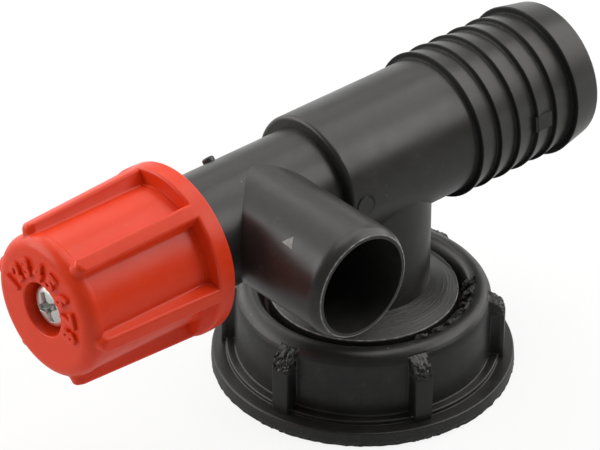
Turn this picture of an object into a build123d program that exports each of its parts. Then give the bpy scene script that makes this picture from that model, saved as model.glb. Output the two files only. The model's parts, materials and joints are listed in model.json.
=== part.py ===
from build123d import *
import math
import os

# Angle valve for a bulk liquid tank, in millimetres.
# The loose coupling nut stands on z = 0 with its axis on Z. The main tube lies along X at AXIS_HEIGHT,
# with the hose tail towards +X, the red knob towards -X and the side spout towards -Y.

# Main tube and hose tail
AXIS_HEIGHT = 61.7
TUBE_R = 18.0
TUBE_WALL = 3.5
SHOULDER_X = -19.9
SHOULDER_ROUND = 1.1
BARB_COUNT = 6
BARB_FIRST_X = 22.2
BARB_PITCH = 6.42
BARB_RISE = 1.7
BARB_DEPTH = 1.3
BARB_CREST_ROUND = 0.35
BARB_ROOT_ROUND = 0.5
LAST_BARB_GAP = 6.8
LAST_BARB_RISE = 0.7
LAST_BARB_LENGTH = 9.1
MOUTH_TAPER = 1.7
MOUTH_ROUND = 0.8
PAD_BARB_COUNT = 3
PAD_ANGLE = 4.0
PAD_WIDTH = 4.2
PAD_LENGTH = 5.4
PAD_DEPTH = 2.6
PAD_OVERHANG = 0.6
GATE_MARK_R = 2.7
GATE_MARK_RAISE = 0.25
GATE_MARK_ROOT = 1.0
GATE_MARK_SETBACK = 4.1
GATE_MARK_ANGLE = 2.5

# Neck that carries the valve mechanism
NECK_STEP = 3.0
NECK_WALL = 3.0
NECK_LENGTH = 58.1
SEAT_SETBACK = 5.1
SEAT_BORE_STEP = 3.5
SEAT_RIM_WIDTH = 1.7
SEAT_RIM_HEIGHT = 1.2

# Side spout
SPOUT_SETBACK = 18.9
SPOUT_STEP = 0.2
SPOUT_WALL = 3.0
SPOUT_REACH = 42.5
SPOUT_LIP_IN = 1.3
SPOUT_LIP_LENGTH = 2.2
SPOUT_LIP_ROUND = 6.0
SPOUT_EDGE_ROUND = 0.4
SPOUT_BORE_DRAFT = 0.7

# Riser, its collar and the flange that the nut pulls on
RISER_R = 17.0
RISER_WALL = 3.5
FLANGE_BOTTOM_Z = 13.5
FLANGE_THICKNESS = 3.2
FLANGE_REACH = 2.8
COLLAR_STEP = 7.4
COLLAR_HEIGHT = 5.5
COLLAR_ROUND = 0.25
BEVEL_IN = 3.0
BEVEL_RISE = 1.5
CONE_RISE = 1.9
GASKET_THICKNESS = 2.5
GASKET_HOLE_CLEAR = 0.5
GASKET_EDGE_CLEAR = 0.3
SLIP_RING_THICKNESS = 0.7
SLIP_RING_CLEAR = 0.15

# Coupling nut
NUT_RUNNING_GAP = 0.1
NUT_LIP_CLEAR = 1.1
NUT_LIP_DEPTH = 2.0
NUT_MOUTH_FLARE = 2.4
NUT_TOP_HEIGHT = 5.7
NUT_RELIEF_CLEAR = 1.0
NUT_THREAD_DEPTH = 1.4
NUT_WALL = 3.4
NUT_TOP_ROUND = 5.0
NUT_FOOT_REACH = 7.0
NUT_FOOT_SIDE_HEIGHT = 2.2
NUT_FOOT_BEVEL = 1.6
NUT_FOOT_HEIGHT = 3.5
NUT_FOOT_ROUND = 0.4
NUT_LEDGE_REACH = 2.3
NUT_LEDGE_HEIGHT = 1.1
NUT_LEDGE_ROUND = 0.5
LUG_COUNT = 6
LUG_FIRST_ANGLE = 13.0
LUG_WIDTH = 5.1
LUG_REACH = 3.6
LUG_TOP_BELOW = 2.0
LUG_SLOPE = 2.4
LUG_TOP_ROUND = 1.5
LUG_ROUND = 0.6

# Bonnet, the threaded bush in the end of the neck
BONNET_PLUG_LENGTH = 5.5
BONNET_HEX_STEP = 2.0
BONNET_HEX_LENGTH = 5.0
BONNET_SEAL_THICKNESS = 1.6
FIT_CLEAR = 0.05

# Knob
KNOB_OVERLAP = 17.2
KNOB_SKIRT_CLEAR = 1.2
KNOB_WALL = 2.0
KNOB_WEB_GAP = 5.0
KNOB_WEB = 7.5
KNOB_FRONT_ROUND = 3.5
KNOB_RIM_RISE = 3.8
KNOB_RIM_WIDTH = 5.2
KNOB_RIM_ROUND = 0.5
KNOB_RIB_COUNT = 6
KNOB_RIB_ANGLE = 56.0
KNOB_RIB_WIDTH = 4.4
KNOB_RIB_RISE = 2.3
KNOB_RIB_SETBACK = 2.2
KNOB_RIB_NOSE = 2.8
KNOB_RIB_ROUND = 0.8
RECESS_CLEAR = 1.3
RECESS_DEPTH = 6.8

# Spindle
LIFT = 8.0
THREAD_R = 6.5
SQUARE_CORNER_IN = 0.136
SQUARE_CLEAR = 0.1
SPINDLE_END_SHORT = 0.2
CARRIER_CLEAR = 0.3
CARRIER_LENGTH = 9.5
CARRIER_BACK_GAP = 0.5
ROD_STEP = 2.0
NOSE_STEP = 0.9
NOSE_GROOVE_DEPTH = 1.0
SWIVEL_GAP = 0.3
RING_SECTION_R = 1.3
RING_SIDE_CLEAR = 0.2
RING_BORE_GAP = 0.12
INSERT_WALL = 0.8
INSERT_LENGTH = 12.0
INSERT_HOLE_SPARE = 0.5

# Jumper, the sliding disc that carries the seat washer
JUMPER_HUB_WALL = 2.3
JUMPER_HUB_LENGTH = 9.0
JUMPER_FLANGE_CLEAR = 1.6
JUMPER_FLANGE_LENGTH = 4.5
JUMPER_CUP_WALL = 0.7
JUMPER_CUP_DEPTH = 0.8
SOCKET_DEPTH = 6.4
SOCKET_FLOOR = 1.35
WASHER_THICKNESS = 2.45
WASHER_TOUCH = 0.05
RETAINER_CLEAR = 2.5
RETAINER_THICKNESS = 1.0
CLIP_WIRE_R = 0.65
CLIP_GAP = 0.15
CLIP_X_IN_HUB = 2.8
CLIP_END_SHORT = 0.8

# Screws and washers
JUMPER_SCREW_R = 2.0
JUMPER_SCREW_HEAD_REACH = 1.6
JUMPER_SCREW_HEAD = 2.4
KNOB_SCREW_R = 2.5
KNOB_SCREW_HEAD_REACH = 2.5
KNOB_SCREW_HEAD = 2.8
KNOB_SCREW_END_SHORT = 1.0
SCREW_CROWN = 0.9
CROSS_WIDTH = 1.1
CROSS_REACH = 2.5
CROSS_DEPTH = 1.6
FLAT_WASHER_REACH = 3.1
FLAT_WASHER_THICKNESS = 1.0
SPRING_WASHER_REACH = 2.1
SPRING_WASHER_THICKNESS = 1.2
SPRING_WASHER_CUT = 0.9
SPRING_WASHER_CUT_ANGLE = 25.0

# Stop pin through the neck wall
PIN_ANGLE = 135.0
PIN_R = 1.4
PIN_HEAD_STEP = 0.2
PIN_HEAD_HEIGHT = 1.3
PIN_HEAD_ROUND = 0.6
PIN_TIP_CLEAR = 0.8
PIN_STOP_GAP = 0.3

# How far a cutting tool runs past what it cuts
PAST = 1.0

# Stations and radii that follow from the sizes above
tube_bore_r = TUBE_R - TUBE_WALL
barb_r = TUBE_R + BARB_RISE
barb_root_r = barb_r - BARB_DEPTH
barb_xs = [BARB_FIRST_X + BARB_PITCH * i for i in range(BARB_COUNT - 1)]
last_barb_r = barb_r + LAST_BARB_RISE
last_barb_x = barb_xs[-1] + LAST_BARB_GAP
mouth_x = last_barb_x + LAST_BARB_LENGTH
mouth_r = last_barb_r - MOUTH_TAPER

neck_r = TUBE_R - NECK_STEP
neck_bore_r = neck_r - NECK_WALL
neck_end_x = SHOULDER_X - NECK_LENGTH
seat_x = SHOULDER_X - SEAT_SETBACK
seat_bore_r = neck_bore_r - SEAT_BORE_STEP
spout_x = SHOULDER_X - SPOUT_SETBACK
spout_r = neck_r - SPOUT_STEP
spout_bore_r = spout_r - SPOUT_WALL

riser_bore_r = RISER_R - RISER_WALL
collar_r = RISER_R + COLLAR_STEP
flange_r = collar_r + FLANGE_REACH
flange_top_z = FLANGE_BOTTOM_Z + FLANGE_THICKNESS
collar_top_z = flange_top_z + COLLAR_HEIGHT
bevel_top_z = collar_top_z + BEVEL_RISE
cone_top_z = bevel_top_z + CONE_RISE
thread_top_z = FLANGE_BOTTOM_Z - GASKET_THICKNESS

lip_bottom_z = flange_top_z + SLIP_RING_THICKNESS + NUT_RUNNING_GAP
lip_top_z = lip_bottom_z + NUT_LIP_DEPTH
lip_r = collar_r + NUT_LIP_CLEAR
nut_top_z = lip_bottom_z + NUT_TOP_HEIGHT
relief_r = flange_r + NUT_RELIEF_CLEAR
nut_thread_r = relief_r + NUT_THREAD_DEPTH
nut_wall_r = nut_thread_r + NUT_WALL

bonnet_inner_x = neck_end_x + BONNET_PLUG_LENGTH
bonnet_front_x = neck_end_x - BONNET_HEX_LENGTH
carrier_r = neck_bore_r - CARRIER_CLEAR
carrier_back_x = bonnet_inner_x + LIFT + CARRIER_BACK_GAP
carrier_front_x = carrier_back_x + CARRIER_LENGTH
ring_centre_r = neck_bore_r - RING_BORE_GAP - RING_SECTION_R
ring_xs = [carrier_front_x - CARRIER_LENGTH / 4, carrier_back_x + CARRIER_LENGTH / 4]
rod_r = THREAD_R - ROD_STEP
nose_r = rod_r - NOSE_STEP
groove_r = nose_r - NOSE_GROOVE_DEPTH
square = (THREAD_R - SQUARE_CORNER_IN) * math.sqrt(2)

washer_face_x = seat_x - WASHER_TOUCH
washer_back_x = washer_face_x - WASHER_THICKNESS
cup_x = washer_back_x + JUMPER_CUP_DEPTH
jumper_flange_x = washer_back_x - JUMPER_FLANGE_LENGTH
jumper_back_x = jumper_flange_x - JUMPER_HUB_LENGTH
jumper_hub_r = nose_r + SWIVEL_GAP + JUMPER_HUB_WALL
jumper_flange_r = neck_bore_r - JUMPER_FLANGE_CLEAR
socket_end_x = jumper_back_x + SOCKET_DEPTH
jumper_screw_end_x = socket_end_x + SOCKET_FLOOR
clip_x = jumper_back_x + CLIP_X_IN_HUB
clip_y = groove_r + CLIP_WIRE_R + CLIP_GAP
pin_x = jumper_flange_x - LIFT - PIN_R - PIN_STOP_GAP

knob_rear_x = neck_end_x + KNOB_OVERLAP
web_rear_x = bonnet_front_x - KNOB_WEB_GAP
recess_floor_x = web_rear_x - KNOB_WEB
knob_front_x = recess_floor_x - RECESS_DEPTH
rim_front_x = knob_rear_x - KNOB_RIM_WIDTH
skirt_r = neck_r + KNOB_SKIRT_CLEAR
knob_r = skirt_r + KNOB_WALL
knob_rim_r = knob_r + KNOB_RIM_RISE
knob_rib_r = knob_r + KNOB_RIB_RISE
spindle_front_x = recess_floor_x + SPINDLE_END_SHORT
insert_r = KNOB_SCREW_R + INSERT_WALL
flat_washer_x = recess_floor_x - FLAT_WASHER_THICKNESS
spring_washer_x = flat_washer_x - SPRING_WASHER_THICKNESS
flat_washer_r = KNOB_SCREW_R + FLAT_WASHER_REACH
recess_r = flat_washer_r + RECESS_CLEAR


def outline(corners):
    """Closed face through (u, v, round) corners; a corner's arc is limited to what its two sides leave room for."""
    points = [Vector(u, v) for u, v, _ in corners]
    sides = []
    count = len(corners)
    for i in range(count):
        before = points[i - 1] - points[i]
        after = points[(i + 1) % count] - points[i]
        half = before.get_angle(after) / 2
        reach = corners[i][2] / math.tan(math.radians(half))
        reach = min(reach, before.length * 0.45, after.length * 0.45)
        radius = reach * math.tan(math.radians(half))
        start = points[i] + before.normalized() * reach
        end = points[i] + after.normalized() * reach
        inward = (before.normalized() + after.normalized()).normalized()
        middle = points[i] + inward * (radius / math.sin(math.radians(half)) - radius)
        sides.append((start, middle, end, radius))
    edges = []
    for i, (start, middle, end, radius) in enumerate(sides):
        last_end = sides[i - 1][2]
        if (start - last_end).length > 1e-6:
            edges.append(Line(last_end, start))
        if radius > 1e-6:
            edges.append(ThreePointArc(start, middle, end))
    return make_face(edges)


def around_x(corners):
    """Turns a closed outline of (x, radius, round) corners about the main tube's axis."""
    return Pos(0, 0, AXIS_HEIGHT) * revolve(outline(corners), Axis.X, 360)


def around_z(corners):
    """Turns a closed outline of (radius, z, round) corners about Z."""
    return revolve(Plane.XZ * outline(corners), Axis.Z, 360)


def tube_x(x_from, x_to, radius):
    """A plain rod on the main axis between two stations."""
    return Pos((x_from + x_to) / 2, 0, AXIS_HEIGHT) * Rot(0, 90, 0) * Cylinder(radius, x_to - x_from)


def ring_x(x_from, x_to, outer, inner):
    """A flat ring on the main axis."""
    return tube_x(x_from, x_to, outer) - tube_x(x_from, x_to, inner)


def rod_z(z_from, z_to, radius):
    """A plain rod on the nut's axis between two heights."""
    return Pos(0, 0, (z_from + z_to) / 2) * Cylinder(radius, z_to - z_from)


def turn_about_tube(shape, angle):
    """Turns a shape that stands up from the main tube's top (+Z) to an angle measured from -Y towards +Z."""
    return Pos(0, 0, AXIS_HEIGHT) * Rot(90 - angle, 0, 0) * shape


def long_edges(solid, axis, width):
    """The edges longer than width on the face that lies furthest out along an axis."""
    face = solid.faces().sort_by(axis)[-1]
    return [edge for edge in face.edges() if edge.length > width]


def pan_screw(head_x, radius, length, head_r, head, direction):
    """A pan head screw on the main axis; the shank runs from head_x along direction, the head the other way."""
    shank = Pos(0, 0, length / 2) * Cylinder(radius, length)
    crown = around_z([(0, -head, 0), (head_r, -head, SCREW_CROWN), (head_r, 0, 0), (0, 0, 0)])
    slot = Pos(0, 0, -head + CROSS_DEPTH / 2) * Box(2 * CROSS_REACH, CROSS_WIDTH, CROSS_DEPTH)
    screw = shank + (crown - slot - Rot(0, 0, 90) * slot)
    return Pos(head_x, 0, AXIS_HEIGHT) * Rot(0, 90 * direction, 0) * screw


def make_valve_body():
    """The moulded cross: neck, main tube with hose tail, side spout, riser, collar and flange."""
    corners = [(neck_end_x, 0, 0), (neck_end_x, neck_r, 0), (SHOULDER_X, neck_r, 0),
               (SHOULDER_X, TUBE_R, SHOULDER_ROUND), (barb_xs[0], TUBE_R, BARB_ROOT_ROUND)]
    for x, next_x in zip(barb_xs, barb_xs[1:] + [last_barb_x]):
        corners += [(x, barb_r, BARB_CREST_ROUND), (next_x, barb_root_r, BARB_ROOT_ROUND)]
    corners += [(last_barb_x, last_barb_r, BARB_CREST_ROUND), (mouth_x, mouth_r, MOUTH_ROUND), (mouth_x, 0, 0)]
    body = around_x(corners)

    body += around_z([(0, AXIS_HEIGHT, 0), (0, FLANGE_BOTTOM_Z, 0), (flange_r, FLANGE_BOTTOM_Z, COLLAR_ROUND),
                      (flange_r, flange_top_z, COLLAR_ROUND), (collar_r, flange_top_z, 0),
                      (collar_r, collar_top_z, COLLAR_ROUND), (collar_r - BEVEL_IN, bevel_top_z, COLLAR_ROUND),
                      (RISER_R, cone_top_z, 0), (RISER_R, AXIS_HEIGHT, 0)])

    lip_r = spout_r - SPOUT_LIP_IN
    spout = around_z([(0, 0, 0), (spout_r, 0, 0), (spout_r, SPOUT_REACH - SPOUT_LIP_LENGTH, SPOUT_LIP_ROUND),
                      (lip_r, SPOUT_REACH, SPOUT_EDGE_ROUND), (0, SPOUT_REACH, 0)])
    to_side = Pos(spout_x, 0, AXIS_HEIGHT) * Rot(90, 0, 0)
    body += to_side * spout

    pad_top = math.sqrt(barb_r ** 2 - (PAD_WIDTH / 2) ** 2)
    pad_x = barb_xs[PAD_BARB_COUNT] - PAD_OVERHANG + PAD_LENGTH / 2
    pad = Pos(pad_x, 0, pad_top - PAD_DEPTH / 2) * Box(PAD_LENGTH, PAD_WIDTH, PAD_DEPTH)
    body += turn_about_tube(pad, PAD_ANGLE)
    mark = Cylinder(GATE_MARK_R, GATE_MARK_ROOT + GATE_MARK_RAISE)
    mark = Pos(SHOULDER_X + GATE_MARK_SETBACK, 0, TUBE_R + (GATE_MARK_RAISE - GATE_MARK_ROOT) / 2) * mark
    body += turn_about_tube(mark, GATE_MARK_ANGLE)

    body -= tube_x(neck_end_x - PAST, seat_x, neck_bore_r)
    body -= ring_x(seat_x - PAST, seat_x + SEAT_RIM_HEIGHT, neck_bore_r, seat_bore_r + SEAT_RIM_WIDTH)
    body -= tube_x(neck_end_x - PAST, neck_end_x + BONNET_SEAL_THICKNESS, neck_bore_r + BONNET_SEAL_THICKNESS)
    body -= tube_x(seat_x - PAST, SHOULDER_X + PAST, seat_bore_r)
    body -= tube_x(SHOULDER_X, mouth_x + PAST, tube_bore_r)
    bore_mouth_r = spout_bore_r + SPOUT_BORE_DRAFT
    body -= to_side * around_z([(0, 0, 0), (spout_bore_r, 0, 0), (bore_mouth_r, SPOUT_REACH, 0),
                                (bore_mouth_r, SPOUT_REACH + PAST, 0), (0, SPOUT_REACH + PAST, 0)])
    body -= rod_z(FLANGE_BOTTOM_Z - PAST, AXIS_HEIGHT, riser_bore_r)
    hole = Pos(pin_x, 0, 0) * rod_z(neck_bore_r - PAST, neck_r + PAST, PIN_R + FIT_CLEAR)
    return body - turn_about_tube(hole, PIN_ANGLE)


def make_stop_pin():
    """A round pin through the neck wall; its tip stops the jumper's flange at full lift."""
    shank = rod_z(jumper_hub_r + PIN_TIP_CLEAR, neck_r, PIN_R)
    head = rod_z(neck_r, neck_r + PIN_HEAD_HEIGHT, PIN_R + PIN_HEAD_STEP)
    head = fillet(head.edges().group_by(Axis.Z)[-1], PIN_HEAD_ROUND)
    return turn_about_tube(Pos(pin_x, 0, 0) * (shank + head), PIN_ANGLE)


def make_bonnet():
    """Threaded bush that closes the neck and carries the spindle's thread."""
    plug = tube_x(neck_end_x, bonnet_inner_x, neck_bore_r - FIT_CLEAR)
    hexagon = extrude(RegularPolygon(neck_r - BONNET_HEX_STEP, 6, major_radius=False), BONNET_HEX_LENGTH)
    bonnet = plug + Pos(bonnet_front_x, 0, AXIS_HEIGHT) * Rot(0, 90, 0) * hexagon
    return bonnet - tube_x(bonnet_front_x - PAST, bonnet_inner_x + PAST, THREAD_R + FIT_CLEAR)


def make_bonnet_seal():
    """Round-section ring in the mouth of the neck, squeezed by the bonnet's hexagon."""
    middle = BONNET_SEAL_THICKNESS / 2
    ring = Torus(neck_bore_r + middle, middle - FIT_CLEAR)
    return Pos(neck_end_x + middle, 0, AXIS_HEIGHT) * Rot(0, 90, 0) * ring


def make_outlet_gasket():
    """Flat face gasket under the flange, on which the tank's outlet seals."""
    outer = rod_z(thread_top_z, FLANGE_BOTTOM_Z, flange_r - GASKET_EDGE_CLEAR)
    return outer - rod_z(thread_top_z - PAST, FLANGE_BOTTOM_Z + PAST, riser_bore_r + GASKET_HOLE_CLEAR)


def make_slip_ring():
    """Thin ring between the flange and the nut's lip, so that the nut turns freely."""
    outer = rod_z(flange_top_z, flange_top_z + SLIP_RING_THICKNESS, flange_r)
    return outer - rod_z(flange_top_z - PAST, lip_bottom_z, collar_r + SLIP_RING_CLEAR)


def make_coupling_nut():
    """Coarse-thread union nut with a broad foot, a rounded top and six grip lugs."""
    foot_r = nut_wall_r + NUT_FOOT_REACH
    ledge_r = nut_wall_r + NUT_LEDGE_REACH
    ledge_z = NUT_FOOT_HEIGHT + NUT_LEDGE_HEIGHT
    nut = around_z([(nut_thread_r, 0, 0), (foot_r, 0, NUT_FOOT_ROUND), (foot_r, NUT_FOOT_SIDE_HEIGHT, NUT_FOOT_ROUND),
                    (foot_r - NUT_FOOT_BEVEL, NUT_FOOT_HEIGHT, NUT_FOOT_ROUND), (ledge_r, NUT_FOOT_HEIGHT, 0),
                    (ledge_r, ledge_z, NUT_LEDGE_ROUND), (nut_wall_r, ledge_z, 0),
                    (nut_wall_r, nut_top_z, NUT_TOP_ROUND), (lip_r + NUT_MOUTH_FLARE, nut_top_z, 0),
                    (lip_r, lip_top_z, 0), (lip_r, lip_bottom_z, 0), (relief_r, lip_bottom_z, 0),
                    (relief_r, thread_top_z, 0), (nut_thread_r, thread_top_z, 0)])

    lug_r = nut_wall_r + LUG_REACH
    lug_top_z = nut_top_z - LUG_TOP_BELOW
    root_r = nut_thread_r + NUT_WALL / 2
    side = Plane.XZ * outline([(root_r, NUT_FOOT_HEIGHT, 0), (lug_r, NUT_FOOT_HEIGHT, 0),
                               (lug_r, lug_top_z - LUG_SLOPE, LUG_TOP_ROUND), (nut_wall_r, lug_top_z, 0),
                               (root_r, lug_top_z - NUT_TOP_ROUND / 2, 0)])
    lug = extrude(side, LUG_WIDTH / 2, both=True)
    lug = fillet(long_edges(lug, Axis.X, LUG_WIDTH), LUG_ROUND)
    for i in range(LUG_COUNT):
        nut += Rot(0, 0, LUG_FIRST_ANGLE + i * 360 / LUG_COUNT) * lug
    return nut


def make_jumper():
    """Non-turning disc carrier that slides in the neck."""
    jumper = tube_x(jumper_back_x, washer_back_x, jumper_hub_r)
    jumper += tube_x(jumper_flange_x, cup_x, jumper_flange_r)
    jumper -= tube_x(washer_back_x, cup_x + PAST, jumper_flange_r - JUMPER_CUP_WALL)
    jumper -= tube_x(jumper_back_x - PAST, socket_end_x, nose_r + SWIVEL_GAP)
    jumper -= tube_x(jumper_screw_end_x, washer_face_x, JUMPER_SCREW_R + FIT_CLEAR)
    for side in (-1, 1):
        leg_hole = Cylinder(CLIP_WIRE_R + FIT_CLEAR, 2 * jumper_hub_r + 2 * PAST)
        jumper -= Pos(clip_x, side * clip_y, AXIS_HEIGHT) * leg_hole
    return jumper


def make_jumper_clip():
    """Bent wire whose two legs hold the spindle's grooved nose in the jumper."""
    top = AXIS_HEIGHT + jumper_hub_r - CLIP_END_SHORT
    bottom = AXIS_HEIGHT - jumper_hub_r
    path = Line((clip_x, -clip_y, top), (clip_x, -clip_y, bottom))
    path += ThreePointArc((clip_x, -clip_y, bottom), (clip_x, 0, bottom - clip_y), (clip_x, clip_y, bottom))
    path += Line((clip_x, clip_y, bottom), (clip_x, clip_y, top))
    start = Plane(origin=(clip_x, -clip_y, top), z_dir=(0, 0, -1))
    return sweep(start * Circle(CLIP_WIRE_R), path)


def make_seat_washer():
    washer_r = jumper_flange_r - JUMPER_CUP_WALL - FIT_CLEAR
    return ring_x(washer_back_x, washer_face_x, washer_r, JUMPER_SCREW_R + FIT_CLEAR)


def make_washer_retainer():
    face_x = washer_face_x + RETAINER_THICKNESS
    hole_r = JUMPER_SCREW_R + FIT_CLEAR
    edge_r = seat_bore_r - RETAINER_CLEAR
    return around_x([(washer_face_x, hole_r, 0), (face_x, hole_r, 0), (face_x, edge_r, RETAINER_THICKNESS / 2),
                     (washer_face_x, edge_r, 0)])


def make_washer_screw():
    head_x = washer_face_x + RETAINER_THICKNESS
    head_r = JUMPER_SCREW_R + JUMPER_SCREW_HEAD_REACH
    return pan_screw(head_x, JUMPER_SCREW_R, head_x - jumper_screw_end_x, head_r, JUMPER_SCREW_HEAD, -1)


def make_spindle():
    """Turning spindle: square for the knob, thread, ring carrier, rod and the grooved nose."""
    nose_end_x = socket_end_x - SWIVEL_GAP
    rod_end_x = jumper_back_x - SWIVEL_GAP
    groove = CLIP_WIRE_R + SWIVEL_GAP
    ring_groove = RING_SECTION_R + RING_SIDE_CLEAR
    spindle = Box(web_rear_x - spindle_front_x, square, square)
    spindle = Pos((spindle_front_x + web_rear_x) / 2, 0, AXIS_HEIGHT) * spindle
    spindle += tube_x(web_rear_x, carrier_back_x, THREAD_R)
    spindle += tube_x(carrier_back_x, carrier_front_x, carrier_r)
    spindle += tube_x(carrier_front_x, rod_end_x, rod_r)
    spindle += tube_x(rod_end_x, nose_end_x, nose_r)
    spindle -= ring_x(clip_x - groove, clip_x + groove, nose_r + PAST, groove_r)
    for x in ring_xs:
        spindle -= ring_x(x - ring_groove, x + ring_groove, carrier_r + PAST, ring_centre_r - RING_SECTION_R)
    hole_end_x = spindle_front_x + INSERT_LENGTH + INSERT_HOLE_SPARE
    return spindle - tube_x(spindle_front_x - PAST, hole_end_x, insert_r + FIT_CLEAR)


def make_seal_ring(x):
    """Round-section ring in one of the carrier's grooves."""
    return Pos(x, 0, AXIS_HEIGHT) * Rot(0, 90, 0) * Torus(ring_centre_r, RING_SECTION_R)


def make_thread_insert():
    """Brass sleeve in the spindle's square, tapped for the knob's screw."""
    return ring_x(spindle_front_x, spindle_front_x + INSERT_LENGTH, insert_r, KNOB_SCREW_R + FIT_CLEAR)


def make_knob():
    """Red moulded knob: rounded front, six long ribs that rise to the rear rim, skirt over the neck."""
    knob = around_x([(knob_front_x, 0, 0), (knob_front_x, knob_r, KNOB_FRONT_ROUND), (rim_front_x, knob_r, 0),
                     (rim_front_x, knob_rim_r, KNOB_RIB_ROUND), (knob_rear_x, knob_rim_r, KNOB_RIM_ROUND),
                     (knob_rear_x, 0, 0)])

    rib_x = knob_front_x + KNOB_RIB_SETBACK
    root_r = skirt_r + KNOB_WALL / 2
    foot_x = rim_front_x + KNOB_RIM_WIDTH / 4
    side = Plane.XZ * outline([(rib_x, root_r, 0), (rib_x, knob_rib_r, KNOB_RIB_NOSE), (foot_x, knob_rim_r, 0),
                               (foot_x, root_r, 0)])
    rib = extrude(side, KNOB_RIB_WIDTH / 2, both=True)
    rib = fillet(long_edges(rib, Axis.Z, 2 * KNOB_RIB_WIDTH), KNOB_RIB_ROUND)
    for i in range(KNOB_RIB_COUNT):
        knob += turn_about_tube(rib, KNOB_RIB_ANGLE + i * 360 / KNOB_RIB_COUNT)

    knob -= tube_x(web_rear_x, knob_rear_x + PAST, skirt_r)
    knob -= tube_x(knob_front_x - PAST, recess_floor_x, recess_r)
    hub = square + 2 * SQUARE_CLEAR
    hole = Box(KNOB_WEB + 2 * PAST, hub, hub)
    return knob - Pos((web_rear_x + recess_floor_x) / 2, 0, AXIS_HEIGHT) * hole


def make_flat_washer():
    return ring_x(flat_washer_x, recess_floor_x, flat_washer_r, KNOB_SCREW_R + 2 * FIT_CLEAR)


def make_spring_washer():
    """Split lock washer under the screw's head."""
    inner = KNOB_SCREW_R + 2 * FIT_CLEAR
    outer = KNOB_SCREW_R + SPRING_WASHER_REACH
    ring = ring_x(spring_washer_x, flat_washer_x, outer, inner)
    cut = Box(3 * SPRING_WASHER_THICKNESS, SPRING_WASHER_CUT, 2 * SPRING_WASHER_REACH)
    cut = Rot(0, 0, SPRING_WASHER_CUT_ANGLE) * cut
    return ring - Pos((spring_washer_x + flat_washer_x) / 2, 0, AXIS_HEIGHT + (inner + outer) / 2) * cut


def make_knob_screw():
    length = spindle_front_x + INSERT_LENGTH - KNOB_SCREW_END_SHORT - spring_washer_x
    head_r = KNOB_SCREW_R + KNOB_SCREW_HEAD_REACH
    return pan_screw(spring_washer_x, KNOB_SCREW_R, length, head_r, KNOB_SCREW_HEAD, 1)


nodes = {
    "valve_body": make_valve_body(),
    "stop_pin": make_stop_pin(),
    "bonnet": make_bonnet(),
    "bonnet_seal": make_bonnet_seal(),
    "outlet_gasket": make_outlet_gasket(),
    "slip_ring": make_slip_ring(),
    "coupling_nut": make_coupling_nut(),
    "jumper": make_jumper(),
    "jumper_clip": make_jumper_clip(),
    "seat_washer": make_seat_washer(),
    "washer_retainer": make_washer_retainer(),
    "washer_screw": make_washer_screw(),
    "spindle": make_spindle(),
    "spindle_o_ring_inner": make_seal_ring(ring_xs[0]),
    "spindle_o_ring_outer": make_seal_ring(ring_xs[1]),
    "spindle_thread_insert": make_thread_insert(),
    "knob": make_knob(),
    "knob_flat_washer": make_flat_washer(),
    "knob_spring_washer": make_spring_washer(),
    "knob_screw": make_knob_screw(),
}

os.makedirs("parts", exist_ok=True)
for name, shape in nodes.items():
    export_step(shape, "parts/" + name + ".step")
    print(name, round(shape.volume / 1000, 2), "cm3")
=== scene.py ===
# %% [markdown]
# # A side-outlet valve for a bulk liquid tank
#
# This file dresses a finished engineering model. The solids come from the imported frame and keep
# their shape; Blender gives them their plastics, metals and rubber. Three pieces are modelled again
# as finer meshes, because their looks live in small forms that the solids leave out: the red hand
# knob, the screw in it and the black coupling nut.

# %% Load the engineering frame
import json
import math
import bmesh
import bpy
import numpy as np
from mathutils import Matrix, Vector, noise

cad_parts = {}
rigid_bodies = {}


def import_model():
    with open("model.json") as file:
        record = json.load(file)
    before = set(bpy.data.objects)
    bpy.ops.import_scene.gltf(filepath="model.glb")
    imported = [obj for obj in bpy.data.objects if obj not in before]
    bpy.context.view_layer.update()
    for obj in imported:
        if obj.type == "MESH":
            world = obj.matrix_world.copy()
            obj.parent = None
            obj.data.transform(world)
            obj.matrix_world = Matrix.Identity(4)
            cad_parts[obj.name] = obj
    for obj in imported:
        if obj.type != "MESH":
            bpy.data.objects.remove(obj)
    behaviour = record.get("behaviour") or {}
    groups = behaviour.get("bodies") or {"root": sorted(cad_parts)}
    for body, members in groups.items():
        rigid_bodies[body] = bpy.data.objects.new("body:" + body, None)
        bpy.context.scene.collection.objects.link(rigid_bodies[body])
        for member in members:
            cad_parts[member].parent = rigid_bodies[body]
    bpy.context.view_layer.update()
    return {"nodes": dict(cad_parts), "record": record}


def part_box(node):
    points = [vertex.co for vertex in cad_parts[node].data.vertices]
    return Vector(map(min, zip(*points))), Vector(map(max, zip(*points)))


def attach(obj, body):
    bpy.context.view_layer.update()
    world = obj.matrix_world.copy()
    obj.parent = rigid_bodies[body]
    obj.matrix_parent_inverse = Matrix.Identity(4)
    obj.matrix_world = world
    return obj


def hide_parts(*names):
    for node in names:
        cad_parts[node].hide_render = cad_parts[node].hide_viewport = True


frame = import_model()
nodes = frame["nodes"]

# %% [markdown]
# ## Working in millimetres
#
# Blender's unit here is the metre, while every size of a valve is given in millimetres. One
# factor and a few reference heights are kept in one place, so each later cell can be read
# next to a drawing.

# %% Sizes shared by the cells below
MM = 0.001
AXIS_HEIGHT = 61.7
MAIN_TUBE_R = 18.0
SPOUT_X = -38.8
SPOUT_R = 14.8
SPOUT_MOUTH_R = 13.5
SPOUT_MOUTH_Y = -42.5
COLLAR_R = 24.4
COLLAR_TOP = 22.2
CONE_TOP = 26.2
BARB_FIRST_X = 22.2
BARB_PITCH = 6.42
BARB_LAST_X = 54.68
TAIL_START, TAIL_END = 20.5, 56.0
GATE_X, GATE_Z, GATE_R = -15.8, 62.5, 2.7
in_scene = bpy.context.scene.collection.objects


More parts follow.
